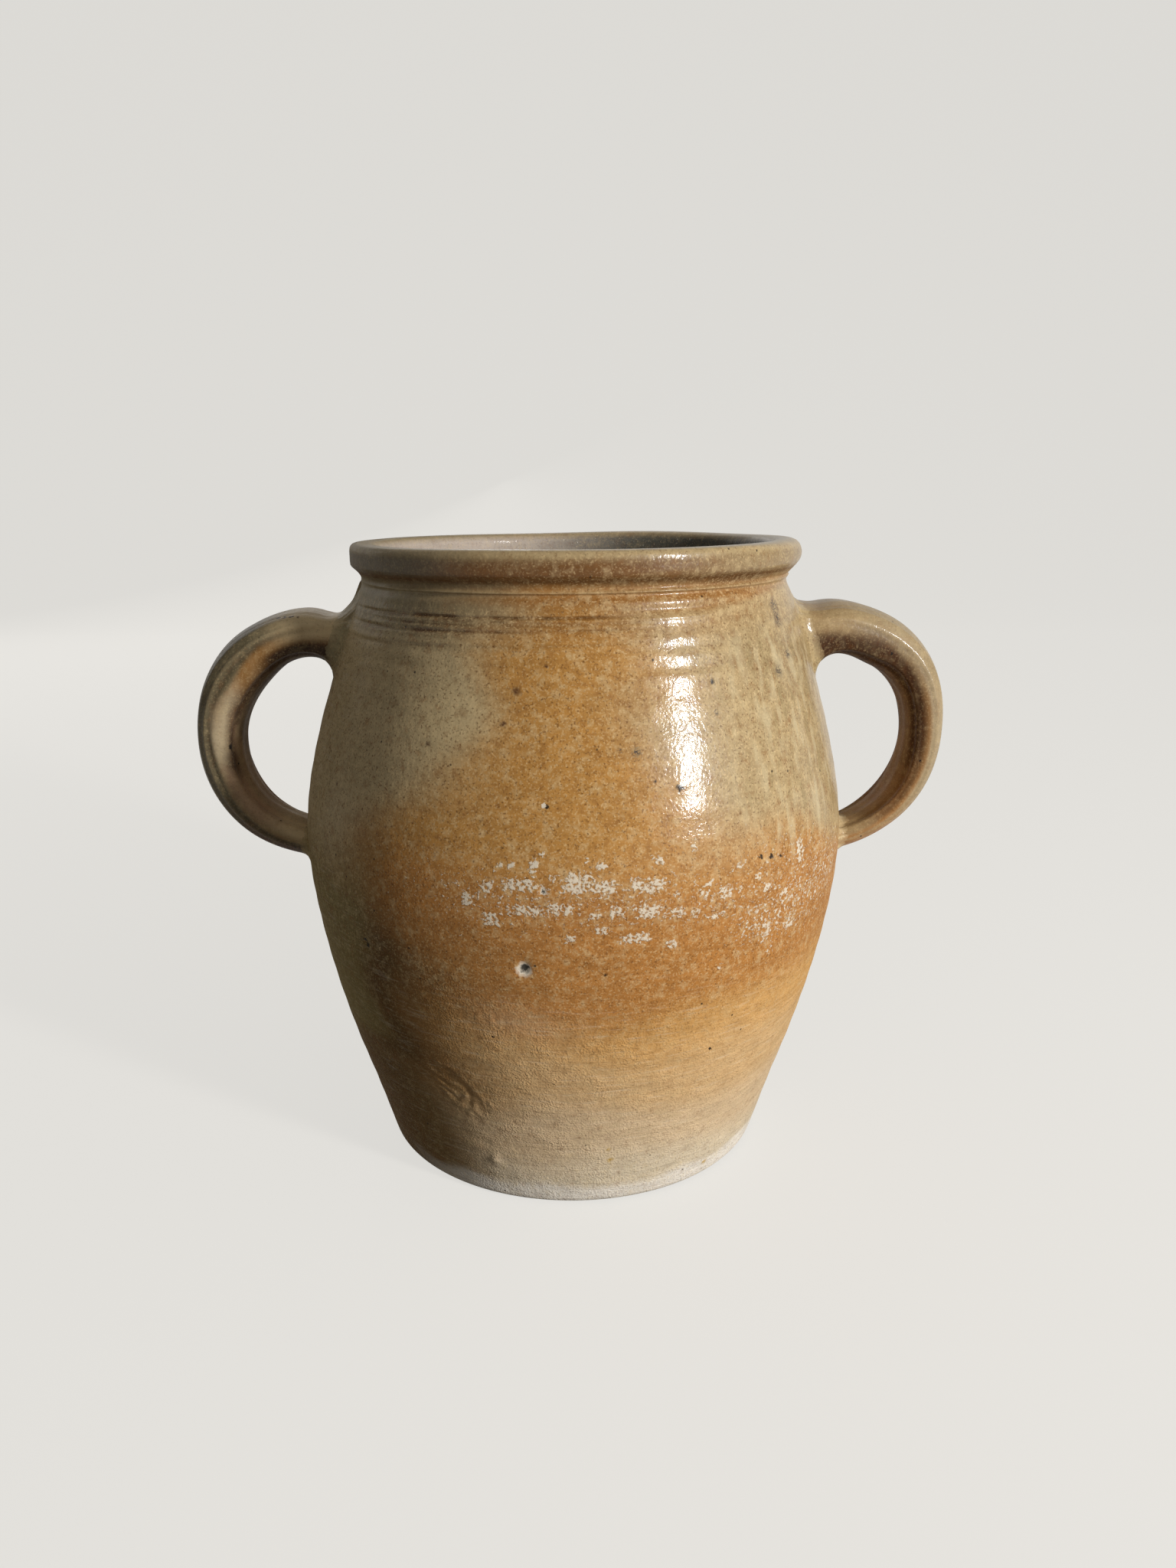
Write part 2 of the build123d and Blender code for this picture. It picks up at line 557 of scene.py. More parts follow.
@dataclass(frozen=True)
class WallGlaze:
    """Colours of the wall, in hex: where the kiln left each, where light and shade are painted, and how the
    zones run together.
    """

    form: WallForm
    ochre: str = "b98542"
    straw: str = "b2986d"
    sage: str = "bba47a"
    moss: str = "9a8a68"
    flush: str = "b3783a"
    tan: str = "d3a161"
    sand: str = "d9b17d"
    putty: str = "dfc199"
    stone: str = "e2d0b2"
    chalk: str = "f5ebdb"
    walnut: str = "8f683a"
    olive: str = "8b7848"
    umber: str = "62461f"
    loam: str = "7f6339"
    cocoa: str = "63421f"
    rust: str = "9c6c36"
    lip_left: str = "7b6e58"
    lip_front: str = "734c22"
    lip_right: str = "9c845e"
    primrose: str = "cdb485"
    blush: str = "cd9d70"
    # Inside glaze with painted light on the left and painted shade on the right
    painted_light_inside: str = "bdae9f"
    painted_shade_inside: str = "5c5a50"

    crust_radius: float = 88.0
    crusts: tuple[tuple[float, float, float, float], ...] = (
        (-15.2, 117.5, 1.3, 1.3), (-12.9, 117.9, 1.3, 1.3), (-9.0, 117.5, 1.6, 2.4), (-7.8, 121.3, 1.1, 0.9),
        (0.4, 119.4, 1.0, 0.9), (3.2, 118.0, 2.2, 1.5), (-17.3, 111.7, 2.0, 2.3), (-11.5, 112.8, 6.3, 2.2),
        (-5.8, 115.0, 1.3, 1.3), (-1.4, 113.4, 5.6, 3.6), (3.7, 112.0, 4.3, 2.7), (9.1, 112.4, 2.2, 2.7),
        (12.5, 112.2, 4.6, 2.6), (13.3, 118.9, 2.2, 1.6), (20.1, 121.7, 1.5, 1.9), (23.0, 110.6, 1.6, 1.2),
        (22.0, 108.1, 1.5, 1.2), (26.6, 107.3, 3.0, 2.4), (30.2, 114.0, 1.8, 1.2), (36.9, 105.9, 2.2, 1.8),
        (42.2, 102.8, 1.8, 1.5), (-10.5, 105.7, 6.9, 1.9), (-4.5, 106.3, 4.3, 2.2), (-16.5, 102.6, 3.3, 2.4),
        (5.3, 105.2, 2.3, 1.9), (2.0, 104.3, 1.9, 1.1), (11.5, 104.8, 4.8, 2.4), (16.9, 103.3, 2.9, 1.9),
        (20.1, 103.0, 1.6, 1.5), (24.8, 100.7, 2.9, 1.2), (2.9, 100.1, 2.9, 1.3), (-2.5, 97.7, 1.9, 1.6),
        (9.2, 97.1, 5.5, 1.9), (15.8, 94.3, 2.3, 1.9), (37.8, 92.4, 2.1, 4.8), (45.2, 91.2, 2.6, 2.2),
        (39.4, 85.0, 1.2, 1.2), (26.5, 84.0, 1.2, 1.0), (-21.1, 107.4, 2.2, 2.2), (46.6, 113.4, 2.2, 4.4),
        (33.9, 109.7, 1.5, 1.0),
    )

    def zones(self, angle: Array, height: Array, a: Array, z: Array) -> list[tuple[str, Array]]:
        """Colours of the wall in the order in which they lie over each other.

        Args:
            angle: degrees.
            height: millimetres.
            a: angle of the front that a place repeats, with wandering edges.
            z: height with wandering edges.

        Returns:
            Hex colour and weight of each zone.
        """
        front = facing(angle)
        sunk = z + 8 * ease(44, 62, a)
        streak = a + 38.9 + 0.178 * (104 - height)
        # Painted shade: the lower left darkened towards the bottom
        shade = ease(54, 36, z)
        # Painted light: that painted shade eased off over the torn patch, whose relief already shades the
        # wall
        scuff_painted_light = 1 - 0.6 * hump(front, -35, 6) * hump(z, 42, 9)
        foot = 6.8 + 1.3 * Ripple(23, turns=19, length=30).at(angle, height) + 2 * ease(20, 60, front)
        neck, lip = ease(173, 180, height), ease(190.5, 193, height)
        cove = 0.55 * hump(height, 191.2, 1.5) + 0.6 * hump(height, 191.7, 0.6)
        cove = cove * (0.84 + 0.16 * hump(front, 38, 16) - 0.35 * ease(54, 70, front))
        scored = ease(24, -8, front) * ease(-66, -40, front)
        right, past = self.form.on_right(front), height - self.form.ledge(front)
        return [
            # Shoulder and belly
            (self.straw, ease(-8, 14, a - 10 - 0.3 * (160 - z)) * ease(108, 124, sunk)),
            (self.lip_right, 0.6 * hump(z, 169, 12) * ease(28, 48, a)),
            (self.sage, ease(9, -9, a + 18 + 25 * ease(158, 126, z)) * ease(92, 116, z)),
            (self.primrose, 0.85 * hump(a, -28, 10) * hump(z, 156, 14)),
            # Painted reflection: a paler strip along the far left, where the glaze catches the pale backdrop
            # at a grazing angle
            (self.primrose, 0.3 * hump(front, -70, 7) * hump(z, 145, 30)),
            (self.flush, 0.9 * ease(62, 78, z) * ease(126, 104, sunk) * ease(-70, -25, a)),
            # Paler towards the foot
            (self.tan, ease(80, 60, z - 7 * ease(20, 50, front))),
            (self.blush, 0.7 * hump(a, -14, 12) * hump(z, 69, 9)),
            (self.sand, ease(66, 48, z)),
            (self.putty, ease(46, 28, z)),
            (self.stone, ease(26, 10, z)),
            # Dark streak down the left, partly the glaze's own colour and partly painted shade, more painted
            # shade low on the left, and bare clay at the foot
            (self.walnut, ease(40, 2, streak) * ease(104, 84, z)),
            (self.olive, ease(4, -8, streak) * ease(122, 100, z)),
            (self.umber, hump(streak, -1, 6) * ease(112, 90, z)),
            (self.loam, ease(-18, -42, front) * shade * scuff_painted_light),
            (self.umber, ease(-34, -54, front) * shade),
            (self.chalk, ease(2.2, -1.4, height - foot) * ease(-62, -24, front)),
            # Collar and neck
            (self.moss, neck * ease(-10, -32, a)),
            (self.loam, 0.45 * hump(a, -30, 10) * hump(height, 179.5, 5)),
            (self.rust, 0.45 * neck * ease(-32, -8, a) * ease(60, 20, a)),
            (self.rust, hump(height, 186.8, 1.8) * ease(-40, -12, a) * ease(64, 34, a)),
            (self.rust, 0.55 * hump(height, 189.6, 1.0) * ease(-50, -15, a)),
            # Painted highlight along the tooled ridge
            (self.primrose, 0.35 * hump(height, 188.7, 0.4) * ease(-60, -20, a) * ease(70, 40, a)),
            # Lip, and the shaded cove under it
            (self.lip_right, lip),
            (self.lip_front, lip * ease(199.2, 195.6, height) * ease(46, 8, a)),
            (self.lip_front, 0.12 * lip * ease(46, 8, a)),
            (self.lip_left, lip * ease(-26, -48, a)),
            (self.primrose, 0.4 * ease(197.0, 198.6, height)),
            (self.cocoa, cove),
            (self.cocoa, 0.85 * hump(front, 40, 13) * hump(height, 191.0, 1.3)),
            # Darker in the incised lines, by their depth, and the ledge
            *((self.cocoa, 1.4 * scored * line.darkness(angle, height)) for line in self.form.lines),
            (self.primrose, 0.2 * right * hump(past, 0, 0.9)),
            (self.rust, 0.5 * right * hump(past, 1.9, 0.9)),
        ]

    def skin(self, angle: Array, height: Array) -> Skin:
        """Glaze of the outer wall, collar, neck and lip.

        Args:
            angle: degrees.
            height: millimetres.

        Returns:
            The skin at each point.
        """
        angle, height = pair(angle, height)
        front = facing(angle)
        a = front + 4 * Ripple(21, turns=6, length=45).at(angle, height)
        z = height + 3 * Ripple(22, turns=9, length=50).at(angle, height)
        scatter = 0.5 * hump(z, 108, 14) * (0.4 + 0.6 * ease(-40, -18, front))
        fleck = np.maximum(scatter, 0.66 * hump(z, 99, 15) * ease(18, 34, front) * ease(75, 62, front))
        for at, level, wide, tall in self.crusts:
            out = (angle - at) * DEGREE * self.crust_radius
            fleck = np.maximum(fleck, np.exp(-((out / wide) ** 4) - ((height - level) / tall) ** 4))
        gloss = ease(62, 120, z) * ease(-75, 4, a) * (0.4 + 0.6 * ease(112, 126, z))
        gloss = (gloss + 0.15 * ease(168, 178, height)) * (1 - 0.8 * hump(height, 191, 2))
        grain = 0.55 + 0.45 * ease(58, 92, z) - 0.6 * ease(181, 187, height) * ease(0, -30, front)
        grain = grain - 0.3 * ease(188, 191, height) * ease(-30, 0, front)
        runs = ease(20, 46, front) * ease(104, 124, height) * ease(180, 170, height)
        colour = coated(self.ochre, self.zones(angle, height, a, z))
        return Skin(colour, np.clip(fleck, 0, 1), np.clip(gloss, 0, 1), grain, runs)

    def inside(self, angle: Array, height: Array) -> Skin:
        """Thin grey glaze of the inside, painted lighter on the left as light and darker on the right as
        shade.

        Args:
            angle: degrees.
            height: millimetres.

        Returns:
            The skin at each point.
        """
        angle, height = pair(angle, height)
        # Painted light on the left of the inside, painted shade on the right
        colour = coated(self.painted_light_inside, [(self.painted_shade_inside, ease(-0.45, 0.5, np.sin(np.radians(angle))))])
        flat = np.zeros(angle.shape)
        return Skin(colour, flat + 0.3, flat + 0.4, flat + 0.4, flat)


@dataclass
class ThrownPot:
    """The thrown body: foot, wall, collar, neck, lip, inside and floor, in one closed surface."""

    form: WallForm
    glaze: WallGlaze
    base: Knots = ((2.0, 0.5), (24, 0.5), (45, 0.4), (55, 0.2), (59, 0.05))
    crisp_lip: Knots = (
        (67.85, 189.5), (68.1, 190.2), (68.8, 191.2), (69.7, 192.1), (70.5, 192.75), (71.0, 193.3),
        (71.15, 194.2), (71.2, 196.0), (71.2, 197.8), (71.0, 198.9), (70.3, 199.7), (69.0, 200.0),
        (66.5, 200.0), (64.4, 199.8), (63.1, 199.0), (62.55, 197.6), (62.5, 195.5),
    )
    soft_lip: Knots = (
        (67.85, 189.4), (68.5, 190.1), (69.4, 191.0), (70.3, 191.9), (71.1, 192.8), (71.7, 193.7),
        (72.0, 194.6), (72.1, 195.7), (71.9, 196.9), (71.4, 198.1), (70.4, 199.1), (68.8, 199.75),
        (66.4, 199.9), (64.4, 199.6), (63.1, 198.8), (62.55, 197.5), (62.5, 195.5),
    )
    hollow: Knots = (
        (62.5, 195.5), (62.5, 188.5), (65.1, 180), (68.5, 170), (74.7, 150), (79.4, 130), (81.6, 108),
        (80.6, 90), (76.4, 70), (70.2, 50), (63.3, 30), (59.3, 18.5), (56.5, 13), (51, 9.8), (44, 9), (24, 9),
        (2, 9),
    )
    lip_wave: float = 0.18
    lip_bow: float = 0.15
    lip_rows: int = 36
    hollow_rows: int = 24
    inner_lip_rows: int = 4
    blend_rows: int = 4
    column_runs: Runs = ((-180, -92, 34), (-92, -43, 58), (-43, -4, 92), (-4, 92, 112), (92, 180, 34))
    row_runs: Runs = (
        (0, 2.6, 6), (2.6, 30, 18), (30, 34, 6), (34, 51, 36), (51, 56, 6), (56, 82, 20), (82, 122, 44),
        (122, 166, 30), (166, 181, 28), (181, 187.4, 22), (187.4, 189.3, 12),
    )

    def build(self) -> bpy.types.Object:
        """Makes the pot's surface.

        Rows run from the middle of the foot up the wall, over the lip and down the inside to
        the middle of the floor; columns run round the axis, closest together at the front.

        Returns:
            The dressed piece.
        """
        angle, height = strung(self.column_runs)[None], strung(self.row_runs)[:, None]
        rounding = self.form.foot_rounding
        sunk = np.clip(rounding - height, 0, None)
        radius = self.form.radius(angle, height) - rounding + np.sqrt(rounding**2 - sunk**2)
        wall = np.stack(pair(radius, height), -1)
        soft = np.clip(ease(35, 75, angle) + ease(-110, -150, angle), 0, 1)[..., None]
        crisp, round_lip = (path(knots, self.lip_rows)[:, None] for knots in (self.crisp_lip, self.soft_lip))
        lip = crisp * (1 - soft) + round_lip * soft
        rise = ease(0, 8, np.arange(self.lip_rows))[:, None]
        lip[..., 1] += self.lip_wave * Ripple(31, turns=6).at(angle, 0.0) * rise
        lip[..., 0] += self.lip_bow * Ripple(32, turns=5).at(angle, 0.0)
        under, hollow = (
            np.broadcast_to(knots[:, None], (len(knots), angle.size, 2))
            for knots in (np.array(self.base), path(self.hollow, self.hollow_rows)[1:])
        )
        out, up = np.moveaxis(np.concatenate([under, wall, lip, hollow]), -1, 0)
        piece = grid_piece("thrown_pot", self.form.set_up(angle, out, up))
        start = len(up) - len(hollow) - self.inner_lip_rows - self.blend_rows
        within = np.clip((np.arange(len(up)) - start) / self.blend_rows, 0, 1)
        inside = self.glaze.inside(angle, up)
        self.glaze.skin(angle, up).mixed(inside, within[:, None] * np.ones_like(up)).put_on(piece)
        return piece


@dataclass(frozen=True)
class StrapForm:
    """Line and section of a pulled strap.

    The line starts level inside the shoulder, turns half round a circle and ends inside the
    belly. The section is a rounded oblong, thinner and narrower towards the belly, with finger
    grooves along its outer shoulders and a groove and a ridge along its inner face.
    """

    side: Side
    loop_height: float
    loop_centre: float = 80.5
    loop_radius: float = 36.0
    tail: float = 15.5
    widths: Knots = ((0, 30.0), (1, 21.0))
    thicknesses: Knots = ((0, 15.5), (1, 8.5))
    swell: Knots = ((0, 0.0), (1, 0.0))
    haunch: tuple[float, float] = (3.0, 4.5)
    haunch_out: float = 81.0
    corner: float = 0.8
    thumb: float = 2.0
    thumb_out: float = 77.5
    thumb_length: float = 5.5
    fingers: float = 1.0
    uneven: float = 0.25

    @property
    def length(self) -> float:
        """Length of the strap's line in millimetres."""
        return self.tail + math.pi * self.loop_radius

    def axes(self, along: Array) -> tuple[Array, Array, Array]:
        """Line of the strap.

        Args:
            along: millimetres from the upper end.

        Returns:
            Distance from the pot's axis, height, and the angle of the outward normal in radians.
        """
        bend = math.pi / 2 - np.clip((along - self.tail) / self.loop_radius, 0, math.pi)
        radius = self.loop_radius + curve(self.swell, 0.5 - bend / math.pi)
        out = self.loop_centre - self.tail + np.minimum(along, self.tail) + radius * np.cos(bend)
        return out, self.loop_height + radius * np.sin(bend), bend

    def relief(self, around: Array, along: Array) -> Array:
        """Finger grooves and ridges that run along the strap.

        Args:
            around: degrees round the section; 0 is the front edge and 90 the outer face.
            along: millimetres from the upper end.

        Returns:
            Height in millimetres off the plain section.
        """
        turn = front_turn(around)
        fade = ease(2, 22, along) * ease(self.length, self.length - 26, along)
        fingers = self.fingers * (0.35 * hump(turn, 73, 4.0) - 0.55 * hump(turn, 84, 4.5))
        lines = 0.12 * Crumble(45 + self.side.value, wide=4.5, tall=45).at(turn, along) * ease(66, 46, turn)
        inner = -0.6 * hump(turn, 142, 8.0) + 0.4 * hump(turn, 124, 7.0) + 0.25 * hump(turn, 170, 8.0)
        return fade * (fingers + 0.25 * hump(turn, 50, 9.0) + lines + inner)

    def point(self, around: Array, along: Array, lift: Array = 0.0) -> Array:
        """Point of the strap's surface.

        The section's point is a power of the cosine across and of the sine outward; it is set
        across the line and pushed off by the relief.

        Args:
            around: degrees round the section.
            along: millimetres from the upper end.
            lift: extra millimetres off the surface.

        Returns:
            Points, shape (..., 3).
        """
        around, along = pair(around, along)
        out, up, bend = self.axes(along)
        share = 0.5 - bend / math.pi
        width, thick = curve(self.widths, share), curve(self.thicknesses, share)
        c, s = np.cos(np.radians(around)), np.sin(np.radians(around))
        uneven = self.uneven * Ripple(41 + self.side.value, turns=3, length=55).at(around, along)
        push = (self.relief(around, along) + lift + uneven) / np.hypot(c / width, s / thick)
        across = width / 2 * np.sign(c) * np.abs(c) ** self.corner + push * c / width
        off = thick / 2 * np.sign(s) * np.abs(s) ** self.corner + push * s / thick
        deep, reach = self.haunch
        pressed = hump(out, self.thumb_out, self.thumb_length)
        thumb = self.thumb * ease(0, 1, s) * pressed * ease(0.3, 0.0, share)
        haunch = deep * ease(0, -0.8, s) * np.exp((self.haunch_out - out) / reach) * ease(0.45, 0.1, share)
        off = off - thumb - haunch
        x = self.side.value * (out + off * np.cos(bend))
        return np.stack([x, -across, up + off * np.sin(bend)], -1)


@dataclass(frozen=True)
class StrapGlaze:
    """Colours of a strap, in hex.

    outer is the back of the strap, upper, front and low its front edge from top to bottom, under
    the underside at the belly, root the front of both ends, inner and inner_low the face towards
    the pot, shadow painted shade at its upper end and in its grooves, and line the edges of its
    grooves and a painted reflection along the innermost edge. On the left strap under is darkened
    as painted shade, and root and inner_low are lightened as painted light on parts in shade.
    inner_edge says how far the inner colour comes round to the front, from 1 at the outside to -1
    at the inside, along the strap.
    """

    outer: str
    upper: str
    front: str
    low: str
    under: str
    root: str
    inner: str
    inner_low: str
    shadow: str
    line: str
    line_weight: float
    sheen: float
    inner_edge: Knots
    dull: float = 0.18
    grain: float = 0.4
    runs: float = 0.12

    def skin(self, form: StrapForm, around: Array, along: Array) -> Skin:
        """Glaze of a strap.

        Args:
            form: the strap.
            around: degrees round the section; 0 is the front edge and 90 the outer face.
            along: millimetres from the upper end.

        Returns:
            The skin at each point.
        """
        around, along = pair(around, along)
        share, face, turn = along / form.length, np.sin(np.radians(around)), front_turn(around)
        drift = 0.06 * Ripple(51 + form.side.value, turns=5, length=40).at(around, along)
        within = ease(-0.26, 0.26, curve(self.inner_edge, share) - face + drift)
        grooves = 0.6 * self.line_weight * hump(turn, 83, 5) + 0.65 * hump(turn, 137, 9)
        edges = self.line_weight * (0.25 * hump(turn, 73, 3) + 0.55 * hump(turn, 156, 5))
        start = ease(0.1, 0.25, share)
        zones = [
            (self.upper, ease(0.5, 0.36, share + 0.4 * drift)),
            (self.low, ease(0.6, 0.76, share + 0.4 * drift)),
            (self.outer, ease(-0.06, 0.1, face + drift)),
            # On the left strap the underside's colour is darkened as painted shade
            (self.under, ease(-0.1, 0.4, face + drift) * ease(0.68, 0.86, share)),
            (self.inner, within),
            # On the left strap the lower inner face is lightened as painted light
            (self.inner_low, within * ease(0.56, 0.72, share + drift)),
            # Fronts of both ends: on the left strap, lightened as painted light where the pot shades them
            (self.root, ease(0.28, 0.14, share) * ease(-0.32, 0.05, face)),
            (self.root, ease(0.78, 0.9, share) * ease(0.1, -0.3, face)),
            (self.shadow, ease(-0.08, -0.42, face) * ease(0.34, 0.24, share)),
            (self.shadow, grooves * start * ease(0.66, 0.56, share)),
            (self.line, edges * start * ease(0.95, 0.8, share) * (0.8 + 4 * drift)),
            # Painted reflection: a pale line along the innermost edge of the face towards the pot
            (self.line, 0.35 * ease(-0.8, -0.98, face) * ease(0.3, 0.45, share)),
        ]
        flat = np.zeros(around.shape)
        gloss = self.dull + (self.sheen - self.dull) * ease(-0.45, 0.05, face)
        return Skin(coated(self.front, zones), flat, gloss, flat + self.grain, flat + self.runs)


@dataclass
class StrapHandle:
    """A pulled strap handle, its ends sunk in the wall."""

    name: str
    form: StrapForm
    glaze: StrapGlaze
    wall: WallForm
    columns: int = 120
    rows: int = 240
    ends: float = 4.0
    depth: float = 3.0

    def build(self) -> bpy.types.Object:
        """Sweeps the strap's section along its line, and stops its ends half-way through the wall.

        Returns:
            The dressed piece.
        """
        around = np.linspace(0, 360, self.columns, endpoint=False)[None]
        along = np.linspace(self.ends, self.form.length - self.ends, self.rows)[:, None]
        points = self.form.point(around, along)
        angle, reach = polar(points)
        least = self.wall.radius(angle, points[..., 2]) - self.depth
        points[..., :2] *= np.maximum(1, least / reach)[..., None]
        piece = grid_piece(self.name, points)
        self.glaze.skin(self.form, around, along).put_on(piece)
        return piece


@dataclass(frozen=True)
class Wipe:
    """How luting clay lies: its reach along the strap and its spread on the wall, in millimetres
    by degrees round the strap, and its colour in hex."""

    reach: Knots
    spread: Knots
    clay: str


@dataclass
class Luting:
    """Clay wiped from one end of a strap onto the wall, as a ring round the strap.

    Across the ring a curve leaves the strap along its surface and arrives on the wall along the
    wall; the ring closes behind, out of sight inside the strap and the wall.
    """

    name: str
    strap: StrapForm
    strap_glaze: StrapGlaze
    wall: WallForm
    wall_glaze: WallGlaze
    end: End
    wipe: Wipe
    columns: int = 160
    rows: int = 26
    back_rows: int = 8
    search_rows: int = 900
    bury: float = 0.12
    press: float = 0.25
    sink: float = 1.2
    leave_pull: float = 0.75
    land_pull: float = 0.8
    finger_marks: float = 1.1
    uneven_reach: float = 0.1
    uneven_spread: float = 0.13
    ragged_spread: float = 0.22
    strap_step: float = 0.4
    wall_step: float = 1.0
    wall_step_press: float = 0.1
    inner_back: float = 0.5
    inner_sink: float = 1.0
    handover: tuple[float, float] = (0.1, 0.85)
    clay_cover: float = 0.9
    clay_ragged: float = 0.5

    def roots(self, around: Array) -> Array:
        """Where each line along the strap meets the wall.

        Args:
            around: degrees round the strap's section, shape (columns,).

        Returns:
            Millimetres along the strap, shape (columns,).
        """
        along = np.linspace(0, self.strap.length, self.search_rows)[:, None]
        points = self.strap.point(around[None], along)
        angle, out = polar(points)
        inside = out < self.wall.radius(angle, points[..., 2])
        if self.end is End.UPPER:
            return along[np.argmin(inside, 0), 0]
        return along[len(along) - 1 - np.argmin(inside[::-1], 0), 0]

    def build(self) -> bpy.types.Object:
        """Makes the ring of clay.

        Returns:
            The dressed piece.
        """
        around = np.linspace(0, 360, self.columns, endpoint=False)
        way, side = self.end.value, self.strap.side.value
        root = self.roots(around)
        uneven = Ripple(61 + 7 * way + side, turns=9).at(around, 0.0)
        seed = 91 + 2 * way + side
        ragged = Crumble(seed, 40, 9.0).at(around, 0.0)
        reach = curve(self.wipe.reach, around) * (1 + self.uneven_reach * uneven)
        wider = 1 + self.uneven_spread * uneven + self.ragged_spread * ragged
        spread = curve(self.wipe.spread, around) * wider
        # Where the clay leaves the strap, and where it lands on the wall
        leave = root + way * reach
        start = self.strap.point(around, leave, -self.bury)
        toward = unit(self.strap.point(around, leave - way * self.strap_step, -self.bury) - start)
        foot = self.strap.point(around, root)
        angle, radius = polar(foot)
        c, s = np.cos(np.radians(around)), np.sin(np.radians(around))
        land = angle - side * c * np.degrees(spread / radius)
        rise = foot[:, 2] + way * s * spread
        untipped = 2 * rise - self.wall.tipped(foot[:, 0], rise)
        stop = self.wall.point(land, untipped, -self.press)
        closer = land + side * c * np.degrees(self.wall_step / radius)
        nearer = self.wall.point(closer, untipped - way * s * self.wall_step, -self.wall_step_press)
        back = unit(nearer - stop)
        # The face between them, with the marks of the finger that wiped it
        t = np.linspace(0, 1, self.rows)[:, None]
        u = t[..., None]
        one = start + toward * (self.leave_pull * reach)[:, None]
        two = stop + back * (self.land_pull * spread)[:, None]
        front = (1 - u) ** 3 * start + 3 * u * (1 - u) ** 2 * one + 3 * u * u * (1 - u) * two + u**3 * stop
        off = unit(np.cross(np.roll(front, -1, 1) - np.roll(front, 1, 1), np.gradient(front, axis=0)))
        off *= np.sign((off * (front - foot)).sum(-1, keepdims=True))
        fine = Crumble(seed + 20, 90, 4.0).at(around, 5 * t)
        wiped = Crumble(seed + 10, 40, 9.0).at(around, 2.2 * t) + 0.5 * fine
        front = front + off * (self.finger_marks * wiped * t * (1 - t))[..., None]
        # The hidden way back
        b = np.linspace(0, 1, self.back_rows)[:, None]
        v = b[..., None]
        deep = self.wall.point(land, untipped, -self.press - self.sink)
        core = self.strap.point(around, leave, -self.bury - self.sink)
        inner = self.strap.point(around, root - way * self.inner_back, -self.sink - self.inner_sink)
        behind = (1 - v) ** 2 * deep + 2 * v * (1 - v) * inner + v * v * core
        piece = grid_piece(self.name, np.concatenate([front, behind]), ring=True)
        # Glaze of the strap, of the wall, and of the clay between
        rows = np.zeros((len(front) + len(behind), 1))
        own = self.strap_glaze.skin(self.strap, around, leave + rows)
        pots = self.wall_glaze.skin(land + rows, untipped + rows)
        share = np.concatenate([ease(*self.handover, t), 1 - b]) * np.ones(self.columns)
        skin = own.mixed(pots, share)
        middle = np.concatenate([3 * t * (1 - t), 0 * b])
        cover = np.clip(middle * (self.clay_cover + self.clay_ragged * ragged), 0, self.clay_cover)[..., None]
        skin.colour = skin.colour + (np.array(linear(self.wipe.clay)) - skin.colour) * cover
        skin.put_on(piece)
        return piece


class Bench:
    """Adds nodes to one tree and joins them."""

    def __init__(self, tree: bpy.types.NodeTree) -> None:
        """Clears the tree that is to be filled."""
        self.tree = tree
        tree.nodes.clear()

    def add(self, kind: str, inputs: Inputs, give: str | int = 0, **settings: object) -> object:
        """Adds a node, then sets or links its inputs.

        Args:
            kind: node type, without the ShaderNode that starts it.
            inputs: values or sockets by input name or number.
            give: which output to return.
            settings: node properties.

        Returns:
            The chosen output socket, or None if the node has none.
        """
        node = self.tree.nodes.new(f"ShaderNode{kind}")
        for key, value in settings.items():
            setattr(node, key, value)
        for key, value in inputs.items():
            if isinstance(value, bpy.types.NodeSocket):
                self.tree.links.new(value, node.inputs[key])
            else:
                node.inputs[key].default_value = value
        return node.outputs[give] if len(node.outputs) else None


@dataclass(frozen=True)
class Pattern:
    """Size of a noise pattern in millimetres, level and upright, and how much fine detail it has."""

    wide: float
    tall: float
    detail: float


@dataclass(frozen=True)
class Tint:
    """A colour laid on where a pattern goes from low to high, and where a weight allows it."""

    code: str
    pattern: str
    low: float
    high: float
    strength: float
    weight: str


@dataclass(frozen=True)
class Marks:
    """Small coloured marks in the glaze, on the wall or on a strap.

    Each spot has its place and its size. On the wall the place is an angle and a height; on a
    strap it is degrees round its section and millimetres along it.
    """

    tone: Tone
    side: Side | None
    spots: tuple[tuple[float, float, float], ...]


